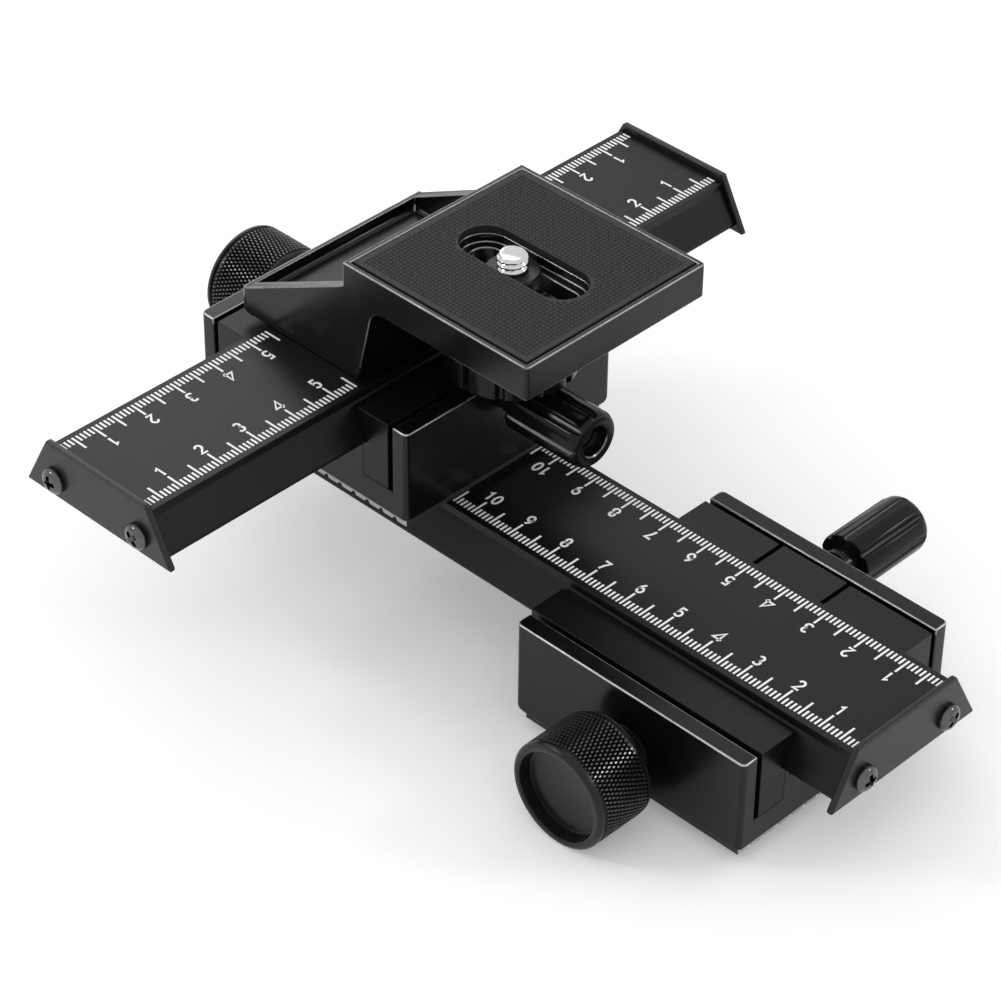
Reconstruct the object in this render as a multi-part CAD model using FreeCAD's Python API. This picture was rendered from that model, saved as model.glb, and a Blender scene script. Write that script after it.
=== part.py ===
import FreeCAD, Part

import math
import os

# Macro focusing rail: two crossed dovetail stages, each driven by a rack and pinion.
#
# Millimetres. The origin is the mouth of the tripod socket under the base block,
# +X runs along the lower rail to its free end, +Y along the upper rail, +Z up.
# Both stages are the same design, so each is modelled once in a stage frame:
# x along the rail, focus knob at -y, lock knob at +y, z = 0 at the resting face
# of the block. The upper stage is that design turned a quarter and set on the
# end of the lower rail.

# ---------------------------------------------------------------- clearances
slide_gap = 0.1            # rail to the faces that guide it
running_gap = 0.05         # shaft to its bearing, screw to the thread it turns in
fit_gap = 0.03             # between pieces that are fixed to each other
stop_gap = 0.3             # left at each end of a travel
past = 1.0                 # how far a cut runs beyond the face that it opens

# ---------------------------------------------------------------- rail
rail_length = 159.0
rail_top_width = 29.0
rail_height = 9.2
rail_edge_height = 1.7     # upright band along each top edge
rail_foot_height = 0.6     # upright band along each bottom edge
dovetail_angle = 60.0      # flank to the horizontal
lower_rail_centre = -37.9  # along X, as shown
upper_rail_centre = 0.9    # along the upper stage's own x

end_plate_thickness = 1.5
end_plate_lip = 1.6        # stands above the rail's top
end_plate_drop = 1.4       # hangs below the rail's underside
end_plate_top_width = 28.6
end_plate_bottom_width = 41.6
plate_screw_spread = 24.0
plate_screw_depth = 6.4    # below the rail's top
plate_screw_head_radius = 2.75
plate_screw_head_height = 1.9
plate_screw_radius = 1.25
plate_screw_length = 8.0

# ---------------------------------------------------------------- carriage block
stage_height = 25.0        # resting face to the top of the rail
block_length = 58.0
block_width = 58.9
block_corner = 1.2
block_foot_round = 2.2     # under the -x end
wall_thickness = 3.85
wall_below_rail_top = 2.0
jaw_floor = 7.5            # height of the seat under the jaws
land_width = 35.0          # raised middle that the rail slides over
slit_width = 1.2           # between each jaw and the wall outside it

pad_thickness = 1.8
pad_inset = 0.8
rib_pitch = 3.9
rib_groove_width = 1.3
rib_groove_depth = 0.7

jaw_lip = 0.8              # height of the bevel along the jaw's inner top edge
jaw_lip_set_back = 0.35
jaw_overhang = 0.9         # fixed jaw beyond the -x end of the block
clamp_pad_length = 16.2
clamp_pad_shift = -0.4     # its centre along the rail
clamp_pad_gap = 1.0        # to the jaws on either side of it
clamp_backlash = 0.25      # clamp pad backed off from the rail
jaw_screw_reach = 19.0     # screw places, each side of the middle
jaw_screw_radius = 1.5
jaw_screw_length = 5.0     # beyond the seat
jaw_screw_head_radius = 2.8
jaw_screw_head_height = 2.2

bush_radius = 6.5
bush_height = 10.0
socket_radius = 3.175      # 1/4 inch tripod thread
socket_depth = 8.6

# ---------------------------------------------------------------- rack and pinion
gear_module = 0.8
dedendum = 1.0             # root below the pitch line, 1.25 modules
pinion_teeth = 12
pressure_angle = 25.0
gear_backlash = 0.12
shaft_radius = 2.5
rack_width = 6.0
rack_offset = -12.5        # middle of rack and pinion, across the rail
rack_back = 2.2            # solid bar behind the roots of the teeth
rack_groove_depth = 1.2    # how far that bar sits in the underside of the rail
rack_end = 6.0             # plain ends that take the screws
rack_side_gap = 0.4
tooth_reach = 6.5          # rack kept in mesh beyond each end of the travel
flank_steps = 3            # straight runs along each involute
rack_screw_radius = 0.95
rack_screw_head_radius = 1.7
rack_screw_head_height = 1.0
rack_screw_length = 5.5

bearing_depth = 1.8        # inner end of the shaft in the block
focus_bush_radius = 4.0
thrust_washer_radius = 5.6
thrust_washer_thickness = 0.4
focus_knob_radius = 11.4
focus_knob_gap = 4.55      # from the wall to the back of the grip
focus_knob_length = 14.4
focus_knob_dish_radius = 9.5
focus_knob_dish_depth = 3.5
focus_hub_radius = 6.0
shaft_cover = 1.4          # knob left between the shaft's end and the dish
set_screw_radius = 1.25

# ---------------------------------------------------------------- lock knob
lock_drop = 6.4            # its axis below the rail's top
lock_screw_radius = 3.0
lock_socket_depth = 1.0    # tip of the screw in the back of the clamp pad
lock_knob_gap = 3.85       # from the wall to the back of the grip
lock_knob_length = 19.0
lock_knob_radius = 6.2
lock_flutes = 8
lock_flute_width = 1.7
lock_flute_depth = 0.65
lock_collar_radius = 3.9
lock_collar_gap = 1.0      # to the wall
lock_recess_radius = 3.3
lock_recess_depth = 3.4

# ---------------------------------------------------------------- joining the stages
upper_stage_inset = 25.8   # its middle from the -x end of the lower rail
upper_stage_y = 2.7
bolt_radius = 3.125
bolt_hole_radius = 3.3
bolt_head_radius = 5.2
bolt_head_height = 3.8
bolt_engagement = 8.2      # into the upper stage's bush
pin_radius = 1.5
pin_spread = 16.0
pin_offset = 12.0          # towards the lock knob
pin_depth = 5.0            # into the rail, and into the block

# ---------------------------------------------------------------- camera bracket
# Places along x count from the upper rail's centre line, heights from its top.
plate_start = 7.8
plate_size = 49.2
plate_thickness = 7.7
plate_height = 26.0
plate_corner = 0.8
plate_rim = 1.1
plate_groove = 0.4         # between the rim and the pad
plate_pad_thickness = 1.8
plate_pad_proud = 0.15
foot_start = -22.4
foot_corner = 2.0
foot_round = 2.6
rim_height = 6.2
rim_thickness = 2.3
rim_bevel_height = 1.5
rim_bevel_width = 1.2
rim_top_width = 0.8
pocket_floor = 3.6
pocket_round = 1.4
gusset_thickness = 2.6
gusset_top = 19.8
gusset_step_width = 1.2    # where the gussets run into the plate
gusset_step_height = 0.8
web_foot = 11.6
web_top = 15.8
web_back = 6.0
web_back_top = 17.8
web_round = 3.6
bracket_screw_front = 8.8
bracket_screw_back = -4.4
bracket_screw_spread = 30.0
bracket_screw_radius = 2.0
bracket_screw_head_radius = 3.5
bracket_screw_head_height = 3.8
bracket_screw_cover = 0.6  # floor left above the tip of a screw

slot_centre = 32.3
slot_length = 31.0
slot_width = 11.0
slot_ledge_depth = 3.8
slot_narrow_width = 7.0

# ---------------------------------------------------------------- camera screw
camera_screw_x = 29.3
camera_screw_radius = 3.175
camera_screw_neck = 2.4
camera_screw_stand = 0.6   # tip above the plate when dropped
slot_washer_thickness = 0.8
washer_side_gap = 0.1
captive_knob_foot = 0.8    # above the rail's top when dropped
captive_knob_radius = 13.5
captive_knob_grip = 6.5
captive_flutes = 11
captive_flute_width = 1.9
captive_flute_depth = 1.2
captive_hub_radius = 8.0
captive_hub_height = 4.5
hub_washer_radius = 7.4
hub_washer_thickness = 0.6

# ---------------------------------------------------------------- fixed round pieces
# Screws, pins and bushes that never turn in their holes are many-sided, which keeps
# their meshes light. Moving fits stay truly round.
shank_sides = 8
head_sides = 12
bush_sides = 24

# ---------------------------------------------------------------- worked-out sizes
V = FreeCAD.Vector
X_AXIS = V(1, 0, 0)
Y_AXIS = V(0, 1, 0)
Z_AXIS = V(0, 0, 1)

wall_top = stage_height - wall_below_rail_top
rail_bottom = stage_height - rail_height
land_top = rail_bottom - slide_gap
wall_inner = block_width / 2 - wall_thickness
jaw_outer = wall_inner - slit_width
land_half = land_width / 2
end_plate_face = rail_length / 2 + end_plate_thickness
upper_stage_x = lower_rail_centre - rail_length / 2 + upper_stage_inset
focus_knob_start = block_width / 2 + focus_knob_gap
focus_knob_end = focus_knob_start + focus_knob_length
lock_knob_start = block_width / 2 + lock_knob_gap
lock_knob_end = lock_knob_start + lock_knob_length

pitch_radius = gear_module * pinion_teeth / 2
pinion_tip = pitch_radius + gear_module
pinion_root = pitch_radius - dedendum
tooth_pitch = math.pi * gear_module
rack_seat = rail_bottom + rack_groove_depth
rack_roots = rack_seat - rack_back
pitch_line = rack_roots - dedendum
rack_tips = pitch_line - gear_module
shaft_height = pitch_line - pitch_radius
lock_height = stage_height - lock_drop
rack_near = rack_offset - rack_width / 2
rack_far = rack_offset + rack_width / 2
pocket_near = rack_near - rack_side_gap
pocket_far = rack_far + rack_side_gap

reach_forward = rail_length / 2 - block_length / 2 - jaw_overhang - stop_gap
reach_back = rail_length / 2 - block_length / 2 - stop_gap

rail_top_above = stage_height * 2


# ---------------------------------------------------------------- shape helpers
def box(x0, x1, y0, y1, z0, z1):
    """Block between two corners."""
    return Part.makeBox(x1 - x0, y1 - y0, z1 - z0, V(x0, y0, z0))


def rod(radius, start, end):
    """Cylinder from one point to another."""
    along = end - start
    return Part.makeCylinder(radius, along.Length, start, along)


def prism(points, along):
    """Closed outline swept along a vector."""
    return Part.Face(Part.makePolygon(points + points[:1])).extrude(along)


def turned(profile, centre, axis):
    """Solid of revolution. The profile gives (distance along the axis, radius)."""
    side = X_AXIS if abs(axis.x) < 0.5 else Y_AXIS
    points = [centre + axis * along + side * radius for along, radius in profile]
    face = Part.Face(Part.makePolygon(points + points[:1]))
    return face.revolve(centre, axis, 360)


def slotted(centre_x, centre_y, length, width, z0, z1):
    """Upright solid with the outline of a round-ended slot along X."""
    reach = (length - width) / 2
    middle = box(centre_x - reach, centre_x + reach, centre_y - width / 2, centre_y + width / 2, z0, z1)
    for side in (-1, 1):
        end = V(centre_x + side * reach, centre_y, z0)
        middle = middle.fuse(rod(width / 2, end, end + Z_AXIS * (z1 - z0)))
    return middle.removeSplitter()


def edges_along(shape, direction, accept=None):
    """Straight edges parallel to a direction, and where given, passing a test of their middle."""
    found = []
    for edge in shape.Edges:
        if not isinstance(edge.Curve, Part.Line):
            continue
        if abs(edge.Curve.Direction.dot(direction)) < 0.999:
            continue
        if accept is None or accept(edge.CenterOfMass):
            found.append(edge)
    return found


def peg(radius, start, end, sides=shank_sides):
    """Many-sided rod for a fixed piece, or for the hole that it fills."""
    corners = []
    for number in range(sides):
        angle = 2 * math.pi * number / sides
        corners.append(V(radius * math.cos(angle), radius * math.sin(angle), 0))
    along = end - start
    return placed(prism(corners, Z_AXIS * along.Length), start, along)


def headed_screw(head_radius, head_height, radius, length):
    """Screw with its head below z = 0 and its shank above it."""
    head = peg(head_radius, V(0, 0, -head_height), V(0, 0, 0), head_sides)
    return head.fuse(peg(radius, V(0, 0, 0), V(0, 0, length)))


def placed(shape, position, direction=Z_AXIS):
    """Copy of a shape modelled along +Z, moved to a place and turned to a direction."""
    copy = shape.copy()
    copy.Placement = FreeCAD.Placement(position, FreeCAD.Rotation(Z_AXIS, direction))
    return copy


def fluted(radius, flute_width, flute_depth, count, height):
    """Upright grip with straight-sided flutes between its round lobes."""
    step = 2 * math.pi / count
    half_mouth = flute_width / 2 / radius
    half_floor = half_mouth / 2

    def at(distance, angle):
        return V(distance * math.cos(angle), distance * math.sin(angle), 0)

    edges = []
    for number in range(count):
        middle = number * step
        flute = [at(radius, middle - half_mouth), at(radius - flute_depth, middle - half_floor),
                 at(radius - flute_depth, middle + half_floor), at(radius, middle + half_mouth)]
        edges += Part.makePolygon(flute).Edges
        lobe = Part.Arc(flute[-1], at(radius, middle + step / 2), at(radius, middle + step - half_mouth))
        edges.append(lobe.toShape())
    return Part.Face(Part.Wire(edges)).extrude(Z_AXIS * height)


# ---------------------------------------------------------------- dovetail rail
def rail_half_width(z, offset=0.0):
    """Half the width of the rail at a height, with its flanks moved out by an offset."""
    slope = math.radians(dovetail_angle)
    foot = rail_bottom + rail_foot_height
    edge = stage_height - rail_edge_height
    drop = max(0.0, edge - max(z, foot))
    return rail_top_width / 2 + drop / math.tan(slope) + offset / math.sin(slope)


def rail(centre):
    """Dovetail extrusion with the rack's groove and the end plates' tapped holes."""
    foot = rail_bottom + rail_foot_height
    edge = stage_height - rail_edge_height
    right = [(rail_half_width(edge), stage_height), (rail_half_width(edge), edge),
             (rail_half_width(foot), foot), (rail_half_width(foot), rail_bottom)]
    outline = right + [(-y, z) for y, z in reversed(right)]
    x0 = centre - rail_length / 2
    body = prism([V(x0, y, z) for y, z in outline], X_AXIS * rail_length)
    body = body.cut(box(x0, x0 + rail_length, rack_near - fit_gap, rack_far + fit_gap,
                        rail_bottom - past, rack_seat))
    for place, direction in plate_screw_places(centre):
        tip = place - direction * plate_screw_length
        body = body.cut(peg(plate_screw_radius + fit_gap, place, tip))
    for x in rack_screw_places(centre):
        body = body.cut(peg(rack_screw_radius + fit_gap, V(x, rack_offset, rack_roots),
                            V(x, rack_offset, rack_roots + rack_screw_length)))
    return body


def plate_screw_places(centre):
    """Where the end plates' screws sit, under their heads, with the way out of each."""
    places = []
    for side in (-1, 1):
        for y in (-plate_screw_spread / 2, plate_screw_spread / 2):
            under_head = V(centre + side * end_plate_face, y, stage_height - plate_screw_depth)
            places.append((under_head, X_AXIS * side))
    return places


def end_plate_half_width(z):
    """Half the width of an end plate's tapered outline at a height."""
    bottom = rail_bottom - end_plate_drop
    taper = (end_plate_bottom_width - end_plate_top_width) / (stage_height + end_plate_lip - bottom)
    return end_plate_bottom_width / 2 - (z - bottom) * taper / 2


def end_plates(centre):
    """Thin trapezoid plates that stop the rail from leaving its block."""
    top = stage_height + end_plate_lip
    bottom = rail_bottom - end_plate_drop
    outline = [(-end_plate_top_width / 2, top), (end_plate_top_width / 2, top),
               (end_plate_bottom_width / 2, bottom), (-end_plate_bottom_width / 2, bottom)]
    plates = []
    for side in (-1, 1):
        x0 = centre + side * (rail_length / 2 + end_plate_thickness / 2) - end_plate_thickness / 2
        plates.append(prism([V(x0, y, z) for y, z in outline], X_AXIS * end_plate_thickness))
    for place, direction in plate_screw_places(centre):
        hole = peg(plate_screw_radius + fit_gap, place, place - direction * end_plate_thickness)
        plates = [plate.cut(hole) for plate in plates]
    return Part.Compound(plates)


def plate_screws(centre):
    screw = headed_screw(plate_screw_head_radius, plate_screw_head_height, plate_screw_radius,
                         plate_screw_length)
    return Part.Compound([placed(screw, place, way * -1) for place, way in plate_screw_places(centre)])


# ---------------------------------------------------------------- rack and pinion
def involute(base_radius, radius):
    """Angle of an involute at a radius, from where it leaves its base circle."""
    if radius <= base_radius:
        return 0.0
    pressure = math.acos(base_radius / radius)
    return math.tan(pressure) - pressure


def pinion():
    """Pinion and shaft in one piece, about an axis along y. One tooth points up at rest."""
    base_radius = pitch_radius * math.cos(math.radians(pressure_angle))
    half_at_pitch = (tooth_pitch - gear_backlash) / 4 / pitch_radius
    half_at_base = half_at_pitch + involute(base_radius, pitch_radius)
    centre = V(0, rack_near, shaft_height)
    step = 2 * math.pi / pinion_teeth
    radii = [base_radius + (pinion_tip - base_radius) * n / flank_steps for n in range(flank_steps + 1)]

    def at(radius, angle):
        return centre + V(radius * math.sin(angle), 0, radius * math.cos(angle))

    outline = []
    for number in range(pinion_teeth):
        middle = number * step
        outline.append(at(pinion_root, middle - half_at_base))
        outline += [at(r, middle - half_at_base + involute(base_radius, r)) for r in radii]
        outline += [at(r, middle + half_at_base - involute(base_radius, r)) for r in reversed(radii)]
        outline.append(at(pinion_root, middle + half_at_base))
    gear = prism(outline, Y_AXIS * rack_width)
    inner_end = pocket_far + bearing_depth
    outer_end = -(focus_knob_end - focus_knob_dish_depth - shaft_cover)
    return gear.fuse(rod(shaft_radius, V(0, outer_end, shaft_height), V(0, inner_end, shaft_height)))


def rack_span(centre):
    """First and last tooth of the rack, counted from the pinion, for the rail's whole travel."""
    first_x = -(reach_forward - centre) - tooth_reach
    last_x = reach_back + centre + tooth_reach
    return math.floor(first_x / tooth_pitch), math.ceil(last_x / tooth_pitch)


def rack(centre):
    """Toothed bar under the rail, teeth down, with plain ends for its screws."""
    first, last = rack_span(centre)
    slope = math.tan(math.radians(pressure_angle))
    half_at_pitch = (tooth_pitch - gear_backlash) / 4
    half_at_tip = half_at_pitch - (pitch_line - rack_tips) * slope
    half_at_root = half_at_pitch + (rack_roots - pitch_line) * slope
    x0 = first * tooth_pitch - rack_end
    x1 = last * tooth_pitch + rack_end
    outline = [(x1, rack_seat), (x0, rack_seat), (x0, rack_roots)]
    for number in range(first, last):
        middle = (number + 0.5) * tooth_pitch
        outline += [(middle - half_at_root, rack_roots), (middle - half_at_tip, rack_tips),
                    (middle + half_at_tip, rack_tips), (middle + half_at_root, rack_roots)]
    outline.append((x1, rack_roots))
    bar = prism([V(x, rack_near, z) for x, z in outline], Y_AXIS * rack_width)
    for x in rack_screw_places(centre):
        start = V(x, rack_offset, rack_roots - past)
        bar = bar.cut(peg(rack_screw_radius + fit_gap, start, V(x, rack_offset, rack_seat + past)))
        bar = bar.cut(peg(rack_screw_head_radius + fit_gap, start,
                          V(x, rack_offset, rack_roots + rack_screw_head_height), head_sides))
    return bar


def rack_screw_places(centre):
    first, last = rack_span(centre)
    return [first * tooth_pitch - rack_end / 2, last * tooth_pitch + rack_end / 2]


def rack_screws(centre):
    screw = headed_screw(rack_screw_head_radius, rack_screw_head_height, rack_screw_radius,
                         rack_screw_length - rack_screw_head_height)
    seat = rack_roots + rack_screw_head_height
    return Part.Compound([placed(screw, V(x, rack_offset, seat)) for x in rack_screw_places(centre)])


# ---------------------------------------------------------------- carriage block
def jaw_screw_places(side):
    """Screw places under one side's jaws."""
    y = side * (land_half + jaw_outer) / 2
    return [V(x, y, jaw_floor) for x in (-jaw_screw_reach, jaw_screw_reach)]


def block():
    """Casting with a raised land for the rail, seats for the jaws and two side walls."""
    half = block_width / 2
    right = [(half, pad_thickness), (half, wall_top), (wall_inner, wall_top),
             (wall_inner, jaw_floor), (land_half, jaw_floor), (land_half, land_top)]
    outline = right + [(-y, z) for y, z in reversed(right)]
    x0 = -block_length / 2
    body = prism([V(x0, y, z) for y, z in outline], X_AXIS * block_length)
    blank = box(x0, -x0, -half, half, pad_thickness, wall_top)
    foot_end = edges_along(blank, Y_AXIS, lambda middle: middle.x < 0 and middle.z < jaw_floor)
    body = body.common(blank.makeFillet(block_foot_round, foot_end))
    body = body.common(blank.makeFillet(block_corner, edges_along(blank, Z_AXIS)))
    body = body.cut(gear_space())
    body = body.cut(bush_space())
    lock_hole = rod(lock_screw_radius + running_gap, V(0, wall_inner - past, lock_height),
                    V(0, half + past, lock_height))
    body = body.cut(lock_hole)
    for side in (-1, 1):
        for place in jaw_screw_places(side):
            head_top = place - Z_AXIS * (jaw_floor - pad_thickness - jaw_screw_head_height)
            under = V(place.x, place.y, 0)
            body = body.cut(peg(jaw_screw_radius + fit_gap, under, place + Z_AXIS * past))
            body = body.cut(peg(jaw_screw_head_radius + fit_gap, under, head_top, head_sides))
    return body


def gear_space():
    """Room for the pinion, the rack that passes over it, and the shaft's bearings."""
    axis = V(0, 0, shaft_height)
    room = pinion_tip + rack_side_gap
    space = rod(room, axis + Y_AXIS * pocket_near, axis + Y_AXIS * pocket_far)
    space = space.fuse(box(-room, room, pocket_near, pocket_far, shaft_height, land_top + past))
    groove = box(-block_length / 2 - past, block_length / 2 + past, pocket_near, pocket_far,
                 rack_tips - rack_side_gap, land_top + past)
    space = space.fuse(groove)
    outer = -block_width / 2 - past
    space = space.fuse(peg(focus_bush_radius + fit_gap, axis + Y_AXIS * outer,
                           axis + Y_AXIS * pocket_near, bush_sides))
    inner = pocket_far + bearing_depth + running_gap
    return space.fuse(rod(shaft_radius + running_gap, axis + Y_AXIS * pocket_far, axis + Y_AXIS * inner))


def bush_space():
    """Pocket for the threaded bush."""
    return peg(bush_radius + fit_gap, V(0, 0, 0), V(0, 0, bush_height), bush_sides)


def threaded_bush():
    """Steel bush with the 1/4 inch socket, its mouth at the resting face."""
    bush = peg(bush_radius, V(0, 0, 0), V(0, 0, bush_height), bush_sides)
    return bush.cut(rod(socket_radius, V(0, 0, -past), V(0, 0, socket_depth)))


def ribbed_pad():
    """Rubber foot, ribbed along the rail, with a hole for the bush."""
    half = block_width / 2 - pad_inset
    count = int(2 * half / rib_pitch)
    outline = [(-half, pad_thickness), (-half, 0)]
    for number in range(count):
        middle = (number - (count - 1) / 2) * rib_pitch
        outline += [(middle - rib_groove_width / 2, 0),
                    (middle - rib_groove_width / 4, rib_groove_depth),
                    (middle + rib_groove_width / 4, rib_groove_depth),
                    (middle + rib_groove_width / 2, 0)]
    outline += [(half, 0), (half, pad_thickness)]
    x0 = -block_length / 2 + block_foot_round
    x1 = block_length / 2 - pad_inset
    pad = prism([V(x0, y, z) for y, z in outline], X_AXIS * (x1 - x0))
    return pad.cut(peg(bush_radius + stop_gap, V(0, 0, -past), V(0, 0, pad_thickness + past), bush_sides))


def jaw(x0, x1, side):
    """Dovetail gib between the land and the slit, on one side of the rail."""
    lip = wall_top - jaw_lip
    foot = rail_bottom + rail_foot_height
    outline = [(land_half, jaw_floor), (jaw_outer, jaw_floor), (jaw_outer, wall_top),
               (rail_half_width(lip, slide_gap) + jaw_lip_set_back, wall_top),
               (rail_half_width(lip, slide_gap), lip),
               (rail_half_width(foot, slide_gap), foot),
               (rail_half_width(foot, slide_gap), land_top), (land_half, land_top)]
    return prism([V(x0, side * y, z) for y, z in outline], X_AXIS * (x1 - x0))


def drilled(gib, side):
    """Jaw with the blind tapped holes that its screws reach into."""
    for place in jaw_screw_places(side):
        gib = gib.cut(peg(jaw_screw_radius + fit_gap, place - Z_AXIS * past,
                          place + Z_AXIS * jaw_screw_length))
    return gib


def fixed_jaw():
    """Jaw on the focus knob's side, drilled where the pinion shaft's bush passes."""
    gib = drilled(jaw(-block_length / 2 - jaw_overhang, block_length / 2, -1), -1)
    axis = V(0, 0, shaft_height)
    return gib.cut(peg(focus_bush_radius + slide_gap, axis - Y_AXIS * block_width, axis, bush_sides))


def lock_jaws():
    """The two fixed jaws on the lock's side, either side of the clamp pad."""
    reach = clamp_pad_length / 2 + clamp_pad_gap
    left = jaw(-block_length / 2, clamp_pad_shift - reach, 1)
    right = jaw(clamp_pad_shift + reach, block_length / 2, 1)
    return Part.Compound([drilled(left, 1), drilled(right, 1)])


def jaw_screws():
    screw = headed_screw(jaw_screw_head_radius, jaw_screw_head_height, jaw_screw_radius,
                         jaw_floor - pad_thickness - jaw_screw_head_height + jaw_screw_length)
    screws = []
    for side in (-1, 1):
        for place in jaw_screw_places(side):
            seat = V(place.x, place.y, pad_thickness + jaw_screw_head_height)
            screws.append(placed(screw, seat))
    return Part.Compound(screws)


def clamp_pad():
    """Middle length of jaw, pressed against the rail by the lock screw."""
    x0 = clamp_pad_shift - clamp_pad_length / 2
    pad = jaw(x0, x0 + clamp_pad_length, 1)
    pad.translate(V(0, clamp_backlash, 0))
    start = x0 - past
    end = x0 + clamp_pad_length + past
    pad = pad.cut(box(start, end, 0, block_width, 0, jaw_floor + running_gap))
    pad = pad.cut(box(start, end, 0, land_half + 2 * clamp_backlash + slide_gap, 0, land_top))
    return pad.cut(rod(lock_screw_radius + running_gap, V(0, lock_tip(), lock_height),
                       V(0, block_width, lock_height)))


# ---------------------------------------------------------------- knobs and their shafts
def sleeve(outer, start, end):
    """Tube around the pinion shaft, between two distances from the middle of the block."""
    axis = V(0, 0, shaft_height)
    tube = peg(outer, axis - Y_AXIS * start, axis - Y_AXIS * end, bush_sides)
    return tube.cut(rod(shaft_radius + running_gap, axis - Y_AXIS * start, axis - Y_AXIS * end))


def focus_bush():
    """Long bearing of the pinion shaft, from the gear's pocket to the face of the wall."""
    return sleeve(focus_bush_radius, -pocket_near, block_width / 2)


def thrust_washer():
    return sleeve(thrust_washer_radius, block_width / 2, block_width / 2 + thrust_washer_thickness)


def hub_start():
    """Rear face of the focus knob's hub, from the middle of the block."""
    return block_width / 2 + thrust_washer_thickness + running_gap


def set_screw_place():
    return -(hub_start() + focus_knob_start) / 2


def focus_knob():
    """Knob with a slimmer hub behind it and a dished front."""
    bore = shaft_radius + fit_gap
    floor = focus_knob_end - focus_knob_dish_depth
    profile = [(-hub_start(), bore), (-hub_start(), focus_hub_radius),
               (-focus_knob_start, focus_hub_radius), (-focus_knob_start, focus_knob_radius),
               (-focus_knob_end, focus_knob_radius), (-focus_knob_end, focus_knob_dish_radius),
               (-floor, focus_knob_dish_radius), (-floor, 0),
               (-floor + shaft_cover, 0), (-floor + shaft_cover, bore)]
    knob = turned(profile, V(0, 0, shaft_height), Y_AXIS)
    foot = V(0, set_screw_place(), shaft_height)
    return knob.cut(peg(set_screw_radius + fit_gap, foot, foot + X_AXIS * focus_knob_radius))


def knob_set_screw():
    """Grub screw through the hub on to the shaft."""
    start = V(shaft_radius + fit_gap, set_screw_place(), shaft_height)
    return peg(set_screw_radius, start, V(focus_hub_radius, start.y, start.z))


def lock_tip():
    """Inner end of the lock screw, from the middle of the block."""
    return jaw_outer + clamp_backlash - lock_socket_depth


def lock_screw():
    """Steel screw through the wall, from the clamp pad to the recess of its knob."""
    end = lock_knob_end - lock_recess_depth
    return rod(lock_screw_radius, V(0, lock_tip(), lock_height), V(0, end, lock_height))


def lock_knob():
    """Slim fluted knob with a collar behind it and a hollow end."""
    length = lock_knob_length
    grip = fluted(lock_knob_radius, lock_flute_width, lock_flute_depth, lock_flutes, length)
    collar_start = lock_collar_gap - lock_knob_gap
    grip = grip.fuse(peg(lock_collar_radius, V(0, 0, collar_start), V(0, 0, 0), bush_sides))
    grip = grip.cut(rod(lock_screw_radius + fit_gap, V(0, 0, collar_start), V(0, 0, length)))
    grip = grip.cut(rod(lock_recess_radius, V(0, 0, length - lock_recess_depth), V(0, 0, length)))
    return placed(grip, V(0, lock_knob_start, lock_height), Y_AXIS)


# ---------------------------------------------------------------- one stage
def carriage(name):
    """Pieces of one block with its jaws, focus drive and lock, in the stage frame."""
    return {
        name + "_block": block(),
        name + "_pad": ribbed_pad(),
        name + "_bush": threaded_bush(),
        name + "_fixed_jaw": fixed_jaw(),
        name + "_lock_jaws": lock_jaws(),
        name + "_jaw_screws": jaw_screws(),
        name + "_clamp_pad": clamp_pad(),
        name + "_lock_screw": lock_screw(),
        name + "_lock_knob": lock_knob(),
        name + "_focus_bush": focus_bush(),
        name + "_thrust_washer": thrust_washer(),
        name + "_pinion": pinion(),
        name + "_focus_knob": focus_knob(),
        name + "_knob_set_screw": knob_set_screw(),
    }


def slide(name, centre):
    """Pieces of one rail, in the stage frame."""
    return {
        name + "_rail": rail(centre),
        name + "_rack": rack(centre),
        name + "_rack_screws": rack_screws(centre),
        name + "_end_plates": end_plates(centre),
        name + "_plate_screws": plate_screws(centre),
    }


# ---------------------------------------------------------------- joining the stages
def bolt_space(seat):
    """Stepped hole through the lower rail for the bolt that holds the upper block."""
    foot = V(upper_stage_x, upper_stage_y, rail_bottom - past)
    space = peg(bolt_head_radius + fit_gap, foot, V(foot.x, foot.y, seat), head_sides)
    return space.fuse(peg(bolt_hole_radius, foot, V(foot.x, foot.y, stage_height + past)))


def joining_bolt(seat):
    bolt = headed_screw(bolt_head_radius, bolt_head_height, bolt_radius,
                        stage_height + bolt_engagement - seat)
    return placed(bolt, V(upper_stage_x, upper_stage_y, seat))


def locating_pins(gap=0.0):
    """Two dowels that keep the upper block square on the lower rail."""
    x = upper_stage_x + pin_offset
    pins = []
    for side in (-1, 1):
        y = upper_stage_y + side * pin_spread / 2
        top = stage_height + pad_thickness + pin_depth
        pins.append(peg(pin_radius + gap, V(x, y, stage_height - pin_depth), V(x, y, top)))
    return Part.Compound(pins)


def end_plate_relief():
    """Room in the upper block's foot for the lip of the lower rail's end plate."""
    face = lower_rail_centre - rail_length / 2
    half = end_plate_half_width(stage_height) + stop_gap
    edge = upper_stage_x - block_width
    return box(edge, face + stop_gap, -half, half, stage_height - past, stage_height + pad_thickness)


# ---------------------------------------------------------------- camera bracket
def bracket_point(x, z):
    """Point of the bracket's side view, at its -Y face."""
    return V(upper_stage_x + x, upper_stage_y - plate_size / 2, rail_top_above + z)


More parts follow.
